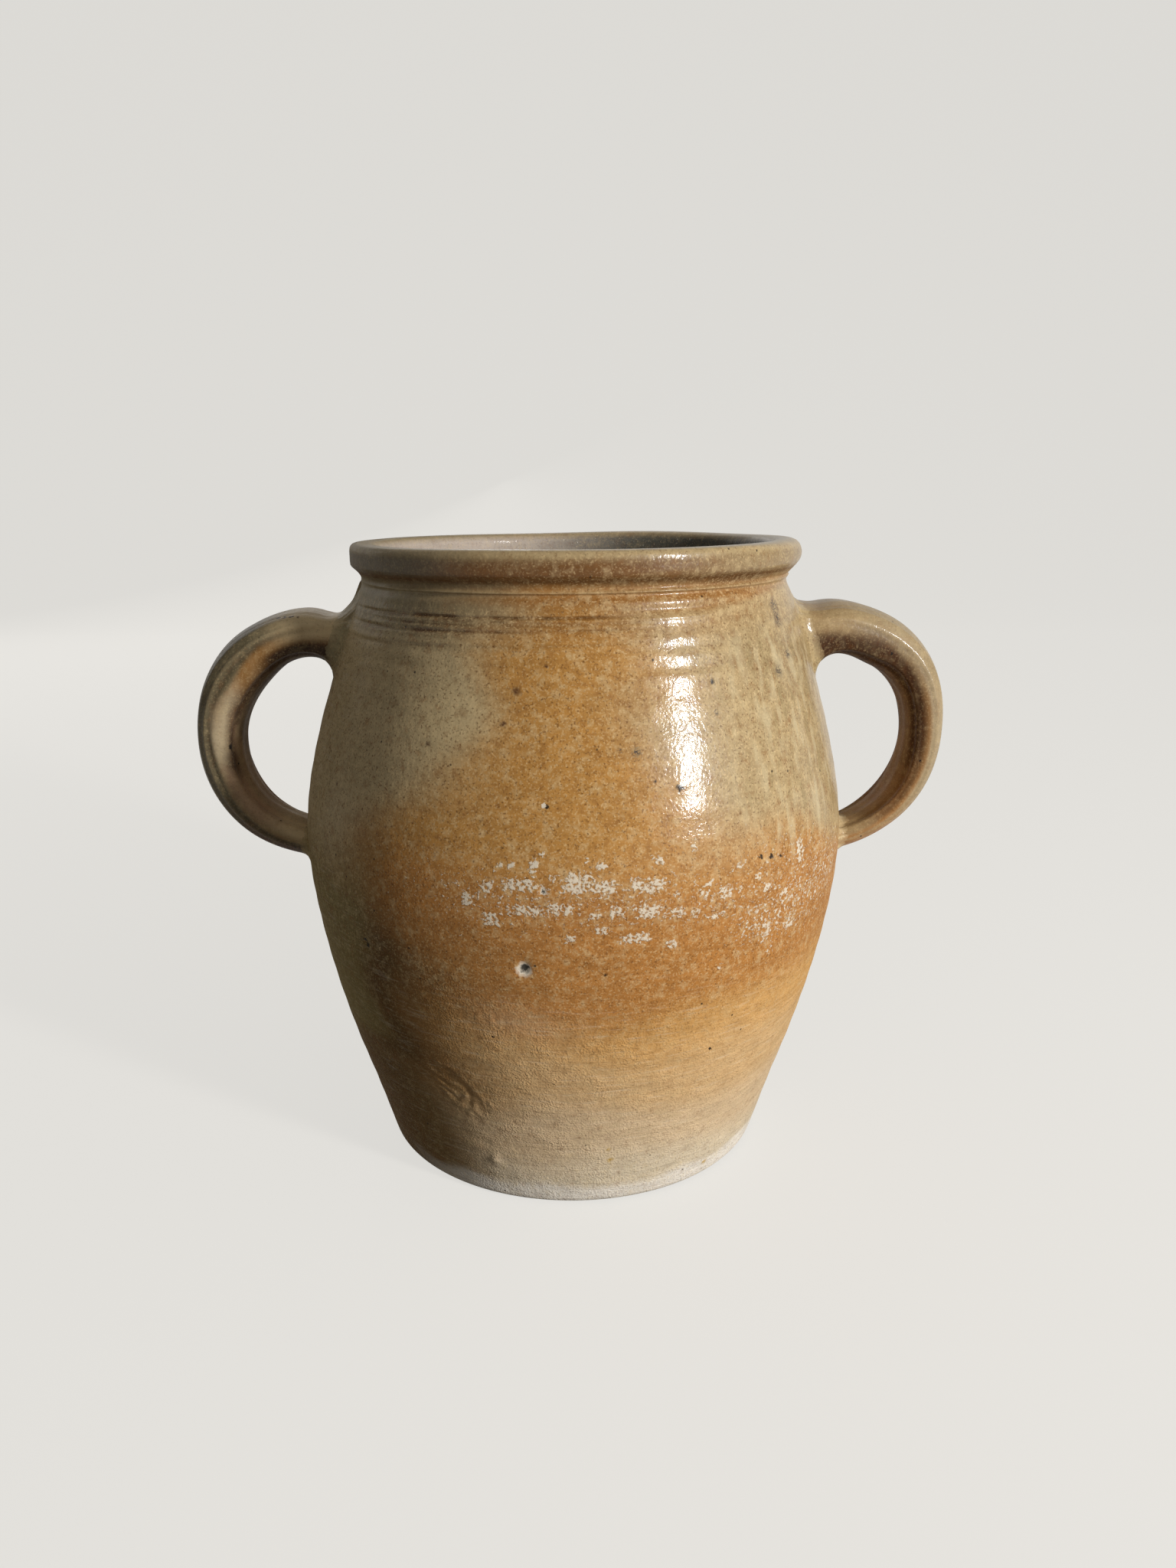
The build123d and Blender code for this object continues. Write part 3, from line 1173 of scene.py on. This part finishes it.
@dataclass(frozen=True)
class SaltGlaze:
    """Salt-glazed stoneware: thrown clay, fired with salt.

    The glaze is glassy and pitted like orange peel where the salt reached it, so the shoulder
    catches a broken highlight; it thins to dry, grainy clay towards the foot.
    """

    wall: WallForm
    straps: dict[Side, StrapForm]
    white: str = "e6d8c0"
    iron: str = "1d140d"
    speck_mm: float = 7.0
    fray_mm: float = 1.1
    fray_shift: float = 2.0
    fray_detail: float = 2.0
    relief_mm: float = 0.13
    patterns: tuple[tuple[str, Pattern], ...] = (
        ("patch", Pattern(7.0, 7.0, 3.0)),
        ("streak", Pattern(14.0, 1.6, 2.0)),
        ("mottle", Pattern(2.4, 2.4, 3.0)),
        # Dots and sand are finer in real glaze, and are drawn as coarse as they need to show
        ("dots", Pattern(0.65, 0.65, 2.0)),
        ("run", Pattern(3.6, 32.0, 2.0)),
        ("sand", Pattern(0.6, 0.6, 1.0)),
        ("drag", Pattern(9.0, 0.75, 3.0)),
        ("crust", Pattern(1.0, 0.85, 5.0)),
        ("peel", Pattern(1.0, 1.0, 2.0)),
    )
    tints: tuple[Tint, ...] = (
        Tint("dcc190", "mottle", 0.50, 0.76, 0.5, "grain"),
        Tint("8a5826", "mottle", 0.46, 0.26, 0.5, "grain"),
        Tint("5f3a16", "dots", 0.56, 0.72, 0.72, "grain"),
        Tint("e6c590", "sand", 0.54, 0.76, 0.5, "grain"),
        Tint("6b4a28", "drag", 0.56, 0.74, 0.24, "dry"),
        Tint("f2e2c6", "drag", 0.44, 0.28, 0.2, "dry"),
        Tint("d3c29a", "run", 0.50, 0.66, 0.5, "runs"),
        Tint("84744a", "run", 0.46, 0.34, 0.3, "runs"),
    )
    clouding: Shares = (("streak", 0.3), ("patch", 0.34))
    cloud_base: float = 0.68
    dulling: Shares = (("mottle", 0.1), ("gloss", -0.52), ("salt", 0.12))
    dry_roughness: float = 0.86
    reliefs: Shares = (("peel", 0.65), ("patch", 1.5))
    dry_fall: float = -6.0
    grit_gain: float = 5.0
    grit_base: float = -0.9
    crust_gain: float = 0.36
    crust_edge: tuple[float, float] = (0.75, 0.87)
    crust_cover: float = 0.9
    speck_edge: tuple[float, float] = (0.07, 0.035)
    speck_cover: float = 0.85
    speck_share: float = 0.5
    mark_fade: float = 1.3
    mark_cover: float = 0.94
    slate_edge: tuple[float, float] = (0.42, 0.52)
    specular: float = 0.2
    glass: float = 0.36
    glass_roughness: float = 0.12
    glass_ior: float = 1.5
    marks: tuple[Marks, ...] = (
        Marks(Tone.PALE, None, ((-11.0, 88.0, 2.2), (-7.3, 111.1, 1.1), (-7.4, 134.0, 0.6))),
        Marks(Tone.BROWN, None, (
            (-31.7, 148.3, 0.8), (-56.9, 131.4, 0.7), (-13.6, 163.4, 1.4), (-15.9, 154.7, 0.9),
            (-7.7, 170.0, 0.8),
        )),
        Marks(Tone.BROWN, Side.LEFT, ((61.0, 28.8, 0.6), (41.0, 21.0, 0.6))),
        Marks(Tone.SLATE, None, (
            (28.0, 155.8, 0.9), (10.1, 147.4, 1.3), (6.7, 147.9, 0.8), (49.2, 163.9, 1.9), (55.0, 181.7, 2.6),
            (54.8, 178.0, 2.5), (55.6, 167.8, 1.7),
        )),
        Marks(Tone.IRON, None, (
            (-10.9, 88.2, 1.4), (-7.3, 111.1, 0.6), (-47.0, 87.2, 0.8), (-46.3, 85.6, 0.8),
            (18.2, 137.4, 1.0), (28.2, 163.9, 0.7), (35.1, 115.1, 0.8), (37.8, 114.5, 0.7),
            (40.4, 113.9, 0.7), (28.2, 55.6, 0.7), (-6.7, 133.8, 0.5), (-17.9, 64.9, 0.5),
        )),
        Marks(Tone.IRON, Side.LEFT, (
            (-38.0, 73.5, 1.0), (56.0, 26.8, 0.7), (50.0, 24.8, 0.7), (45.0, 22.9, 0.6),
        )),
        Marks(Tone.IRON, Side.RIGHT, ((-14.0, 40.0, 0.6), (-15.0, 82.0, 0.5))),
        Marks(Tone.YELLOW, None, ((7.4, 18.2, 1.1), (6.7, 22.5, 0.8), (38.2, 6.1, 1.0))),
    )

    def build(self) -> bpy.types.Material:
        """Makes the material.

        Returns:
            The material.
        """
        material = bpy.data.materials.new("salt_glazed_stoneware")
        material.use_nodes = True
        add = Bench(material.node_tree).add
        place = add("TexCoord", {}, "Object")
        glaze = add("Attribute", {}, "Color", attribute_name="glaze")
        of = {key: add("Attribute", {}, "Fac", attribute_name=key) for key in WEIGHTS}
        dry = {0: of["gloss"], 1: self.dry_fall, 2: 1.0}
        of["dry"] = add("Math", dry, operation="MULTIPLY_ADD", use_clamp=True)
        for name, pattern in self.patterns:
            wide, tall = 1 / (pattern.wide * MM), 1 / (pattern.tall * MM)
            spot = add("VectorMath", {0: place, 1: (wide, wide, tall)}, operation="MULTIPLY")
            of[name] = add("TexNoise", {"Vector": spot, "Scale": 1.0, "Detail": pattern.detail})
        # Slow clouding, and level streaks left by the turning wheel
        shade = self.cloud_base
        for name, share in self.clouding:
            shade = add("Math", {0: of[name], 1: share, 2: shade}, operation="MULTIPLY_ADD")
        colour = add("VectorMath", {0: glaze, "Scale": shade}, operation="SCALE")
        # Layers of how much is covered, and with what colour
        layers = []
        # Light blotches where salt pooled, brown dots where iron burnt through, runs down the shoulder
        for tint in self.tints:
            edge = {"From Min": tint.low, "From Max": tint.high, "To Max": tint.strength}
            cover = add("MapRange", {"Value": of[tint.pattern], **edge})
            cover = add("Math", {0: cover, 1: of[tint.weight]}, operation="MULTIPLY")
            layers.append((cover, tint.code))
        # White crusts of salt, broken into grains
        low, high = self.crust_edge
        salt = add("Math", {0: of["fleck"], 1: self.crust_gain, 2: of["crust"]}, operation="MULTIPLY_ADD")
        salt = add("MapRange", {"Value": salt, "From Min": low, "From Max": high, "To Max": self.crust_cover})
        layers.append((salt, self.white))
        of["salt"] = salt
        # Iron specks bled from the clay, in about half the cells
        cell = add("TexVoronoi", {"Vector": place, "Scale": 1 / (self.speck_mm * MM)}, "Distance")
        low, high = self.speck_edge
        edge = {"From Min": low, "From Max": high, "To Max": self.speck_cover}
        speck = add("MapRange", {"Value": cell, **edge})
        chosen = add("Math", {0: cell.node.outputs["Color"], 1: self.speck_share}, operation="GREATER_THAN")
        speck = add("Math", {0: speck, 1: chosen}, operation="MULTIPLY")
        layers.append((speck, self.iron))
        # Single marks with frayed edges
        fringe = {"Scale": 1 / (self.fray_mm * MM), "Detail": self.fray_detail}
        fray = add("TexNoise", {"Vector": place, **fringe}, "Color")
        fray = add("VectorMath", {0: fray, 1: (0.5, 0.5, 0.5)}, operation="SUBTRACT")
        shift = [self.fray_shift * self.fray_mm * MM] * 3
        frayed = add("VectorMath", {0: fray, 1: shift, 2: place}, operation="MULTIPLY_ADD")
        low, high = self.slate_edge
        speckled = add("MapRange", {"Value": of["sand"], "From Min": low, "From Max": high})
        for marks in self.marks:
            form = self.straps.get(marks.side, self.wall)
            for first, second, size in marks.spots:
                centre = (form.point(first, second) * MM).tolist()
                away = add("VectorMath", {0: frayed, 1: centre}, "Value", operation="DISTANCE")
                edge = {"From Min": self.mark_fade * size * MM, "From Max": marks.tone.core * size * MM}
                cover = add("MapRange", {"Value": away, **edge, "To Max": self.mark_cover})
                if marks.tone is Tone.SLATE:
                    cover = add("Math", {0: cover, 1: speckled}, operation="MULTIPLY")
                layers.append((cover, marks.tone.value))
        for cover, code in layers:
            colour = add("Mix", {0: cover, 6: colour, 7: (*linear(code), 1)}, 2, data_type="RGBA")
        # Glassy to dry, with the peel as fine relief where it is glassy and sand where it is dry
        rough = self.dry_roughness
        for name, share in self.dulling:
            rough = add("Math", {0: of[name], 1: share, 2: rough}, operation="MULTIPLY_ADD")
        grit = {0: of["patch"], 1: self.grit_gain, 2: self.grit_base}
        gritty = add("Math", grit, operation="MULTIPLY_ADD")
        gritty = add("Math", {0: of["sand"], 1: gritty, 2: of["drag"]}, operation="MULTIPLY_ADD")
        relief = add("Math", {0: gritty, 1: of["dry"], 2: salt}, operation="MULTIPLY_ADD")
        for name, share in self.reliefs:
            relief = add("Math", {0: of[name], 1: share, 2: relief}, operation="MULTIPLY_ADD")
        bump = add("Bump", {"Distance": self.relief_mm * MM, "Height": relief})
        glass = add("Math", {0: of["gloss"], 1: self.glass}, operation="MULTIPLY")
        finish = {"Roughness": rough, "Specular IOR Level": self.specular}
        finish |= {"Coat Weight": glass, "Coat Roughness": self.glass_roughness}
        finish |= {"IOR": self.glass_ior, "Coat IOR": self.glass_ior, "Normal": bump, "Coat Normal": bump}
        surface = add("BsdfPrincipled", {"Base Color": colour, **finish})
        add("OutputMaterial", {"Surface": surface})
        return material


@dataclass(frozen=True)
class Lamp:
    """A soft light: degrees round and up, distance and size in metres, and watts."""

    azimuth: float
    elevation: float
    distance: float
    size: tuple[float, float]
    power: float


@dataclass
class Studio:
    """Pale sweep, a tall soft light from the right front, a weak one behind on the left, quiet fill,
    and the camera. Lengths are in metres, the lens and its sensor in millimetres."""

    floor_hex: str = "6b6863"
    pale_hex: str = "fffdf8"
    paleness: float = 0.68
    sky_paleness: float = 0.73
    sweep_front: float = -4.0
    sweep_back: float = 2.3
    sweep_top: float = 4.0
    sweep_bend: float = 0.9
    sweep_half_width: float = 5.0
    sweep_steps: int = 24
    paper_roughness: float = 0.9
    key: Lamp = Lamp(46.5, 15.0, 1.2, (0.1, 0.3), 13.0)
    back: Lamp = Lamp(212.0, 16.0, 1.7, (2.0, 0.7), 5.0)
    fill: float = 0.2
    camera_place: tuple[float, float, float] = (-0.01205, -0.38629, 0.21599)
    camera_pitch: float = 14.12
    camera_heading: float = 2.5
    lens: float = 27.035
    sensor: float = 36.0
    clip_start: float = 0.01
    target: tuple[float, float, float] = (0.0, 0.0, 0.11)
    made: list[bpy.types.Object] = field(default_factory=list)

    def build(self) -> None:
        """Sets up floor, light, world, view and camera."""
        self.sweep()
        self.lamp("window_light", self.key)
        self.lamp("back_light", self.back)
        self.world()
        self.camera()
        bpy.context.scene.view_settings.view_transform = "Standard"
        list(self.made)

    def sweep(self) -> None:
        """Floor that curves up into a backdrop: one outline drawn along X."""
        turn, bend = np.linspace(-math.pi / 2, 0, self.sweep_steps), self.sweep_bend
        arc = self.sweep_back - bend + bend * np.cos(turn)
        y = np.concatenate([[self.sweep_front], arc, [self.sweep_back]])
        z = np.concatenate([[0.0], bend + bend * np.sin(turn), [self.sweep_top]])
        x = np.linspace(-self.sweep_half_width, self.sweep_half_width, 3)
        points = np.stack(np.broadcast_arrays(x[None], y[:, None], z[:, None]), -1)
        index = np.arange(points.shape[0] * 3).reshape(-1, 3)
        faces = np.stack([index[:-1, :-1], index[:-1, 1:], index[1:, 1:], index[1:, :-1]], -1).reshape(-1, 4)
        mesh = bpy.data.meshes.new("sweep")
        mesh.from_pydata(points.reshape(-1, 3).tolist(), [], faces.tolist())
        mesh.polygons.foreach_set("use_smooth", np.ones(len(faces), bool))
        paper = bpy.data.materials.new("matt_backdrop_paper")
        paper.use_nodes = True
        add = Bench(paper.node_tree).add
        seen = add("LightPath", {}, "Is Camera Ray")
        rays = seen.node.outputs
        for ray in ("Is Glossy Ray", "Is Transmission Ray"):
            seen = add("Math", {0: seen, 1: rays[ray]}, operation="MAXIMUM")
        pale = add("Math", {0: seen, 1: self.paleness}, operation="MULTIPLY")
        finish = {"Base Color": (*linear(self.floor_hex), 1), "Roughness": self.paper_roughness}
        finish |= {"Emission Color": (*linear(self.pale_hex), 1), "Emission Strength": pale}
        add("OutputMaterial", {"Surface": add("BsdfPrincipled", finish)})
        mesh.materials.append(paper)
        self.place(bpy.data.objects.new("sweep", mesh))

    def place(self, thing: bpy.types.Object) -> bpy.types.Object:
        """Links a stage object.

        Args:
            thing: floor, light or camera.

        Returns:
            The same object.
        """
        bpy.context.scene.collection.objects.link(thing)
        self.made.append(thing)
        return thing

    def lamp(self, name: str, lamp: Lamp) -> None:
        """Soft light that faces the pot.

        Args:
            name: name of the light.
            lamp: where it stands, its size and its power.
        """
        light = bpy.data.lights.new(name, "AREA")
        light.shape = "RECTANGLE"
        light.size, light.size_y = lamp.size
        light.energy = lamp.power
        holder = self.place(bpy.data.objects.new(name, light))
        azimuth, rise = math.radians(lamp.azimuth), math.radians(lamp.elevation)
        level = math.cos(rise)
        back = Vector((math.sin(azimuth) * level, -math.cos(azimuth) * level, math.sin(rise)))
        holder.location = Vector(self.target) + back * lamp.distance
        holder.rotation_euler = back.to_track_quat("Z", "Y").to_euler()
        holder.visible_camera = False

    def world(self) -> None:
        """Even fill, with the backdrop's own tone for what the camera sees past it."""
        world = bpy.data.worlds.new("studio")
        world.use_nodes = True
        bpy.context.scene.world = world
        add = Bench(world.node_tree).add
        seen = add("LightPath", {}, "Is Camera Ray")
        fill = add("Background", {"Color": (1, 1, 1, 1), "Strength": self.fill})
        pale = {"Color": (*linear(self.pale_hex), 1), "Strength": self.sky_paleness}
        both = add("MixShader", {"Fac": seen, 1: fill, 2: add("Background", pale)})
        add("OutputWorld", {"Surface": both})

    def camera(self) -> None:
        """Camera at the height and distance that give the same view of the rim and the foot."""
        data = bpy.data.cameras.new("camera")
        data.sensor_width, data.lens = self.sensor, self.lens
        data.clip_start = self.clip_start
        camera = self.place(bpy.data.objects.new("camera", data))
        camera.location = self.camera_place
        pitch, heading = math.radians(90 - self.camera_pitch), math.radians(-self.camera_heading)
        camera.rotation_euler = Euler((pitch, 0, heading))
        bpy.context.scene.camera = camera


LEFT_FORM = StrapForm(
    Side.LEFT,
    136.2,
    thicknesses=((0, 14.6), (0.12, 15.2), (0.25, 17.0), (0.5, 14.3), (0.75, 11.9), (0.9, 11.2), (1, 9.8)),
    swell=((0, -0.6), (0.12, -0.4), (0.25, -0.6), (0.5, -0.45), (0.75, -0.5), (0.9, -1.0), (1, -0.6)),
    haunch=(1.8, 4.5),
)
RIGHT_FORM = StrapForm(
    Side.RIGHT,
    137.8,
    thicknesses=((0, 15.2), (0.1, 15.8), (0.2, 16.3), (0.27, 15.0), (0.5, 11.6), (0.75, 8.7), (1, 8.8)),
    swell=((0, -0.6), (0.1, -0.3), (0.2, 0.3), (0.27, 1.0), (0.5, 0.6), (0.75, 1.6), (1, 1.6)),
    haunch=(5.0, 7.0),
    thumb=1.2,
    fingers=0.3,
)
# Left strap: under is painted shade; root and inner_low are painted light on parts in shade
LEFT_GLAZE = StrapGlaze(
    outer="6a5f45", upper="936a3a", front="b7a382", low="96784a", under="4b2f1a", root="e6ca9a",
    inner="5c4531", inner_low="bf9c7a", shadow="3a2414", line="b7a07c", line_weight=0.8, sheen=0.4,
    inner_edge=((0, -0.4), (0.3, -0.5), (0.5, -0.5), (0.64, -0.3), (0.75, -0.15), (1, -0.3)),
)
RIGHT_GLAZE = StrapGlaze(
    outer="a8926e", upper="a1875f", front="99703f", low="a57239", under="a8763c", root="a58b62",
    inner="4a2d17", inner_low="86603a", shadow="422814", line="b59269", line_weight=0.3, sheen=0.9,
    inner_edge=((0, 0.0), (0.12, 0.15), (0.25, 0.08), (0.5, -0.14), (0.8, -0.25), (1, -0.3)),
)
WIPES = {
    ("left", End.UPPER): Wipe(
        ((0, 6.5), (60, 6.7), (90, 7.5), (120, 6.7), (180, 6.5), (270, 4), (360, 6.5)),
        ((0, 6), (60, 8.4), (90, 11.4), (120, 8.4), (180, 6), (270, 4), (360, 6)),
        "a3946f",
    ),
    ("left", End.LOWER): Wipe(
        ((0, 5), (90, 4), (180, 5), (270, 1.5), (360, 5)),
        ((0, 4.5), (90, 4.5), (180, 4.5), (270, 1.2), (360, 4.5)),
        "ab9464",
    ),
    ("right", End.UPPER): Wipe(
        ((0, 6.5), (60, 6.5), (90, 6), (120, 6.5), (180, 6.5), (270, 4), (360, 6.5)),
        ((0, 6), (60, 5), (90, 3.8), (120, 5), (180, 6), (270, 4), (360, 6)),
        "b39c72",
    ),
    ("right", End.LOWER): Wipe(
        ((0, 5), (90, 4), (180, 5), (270, 8), (360, 5)),
        ((0, 4.5), (90, 3.5), (180, 4.5), (270, 8), (360, 4.5)),
        "cbb58b",
    ),
}


def main() -> None:
    """Builds the pot, its handles, their lutings and the studio."""
    logging.basicConfig(level=logging.INFO)
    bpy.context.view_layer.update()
    wall = WallForm()
    wall_glaze = WallGlaze(wall)
    pieces = {"thrown_pot": ThrownPot(wall, wall_glaze).build()}
    for name, form, glaze in (("left", LEFT_FORM, LEFT_GLAZE), ("right", RIGHT_FORM, RIGHT_GLAZE)):
        pieces[f"{name}_handle"] = StrapHandle(f"{name}_handle", form, glaze, wall).build()
        for end in End:
            label = f"{name}_{end.name.lower()}_luting"
            pieces[label] = Luting(label, form, glaze, wall, wall_glaze, end, WIPES[name, end]).build()
    glazed = SaltGlaze(wall, {form.side: form for form in (LEFT_FORM, RIGHT_FORM)}).build()
    for node, piece in pieces.items():
        piece.data.materials.append(glazed)
        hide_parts(node)
        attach(piece, "root")
    Studio().build()


if __name__ == "__main__":
    main()
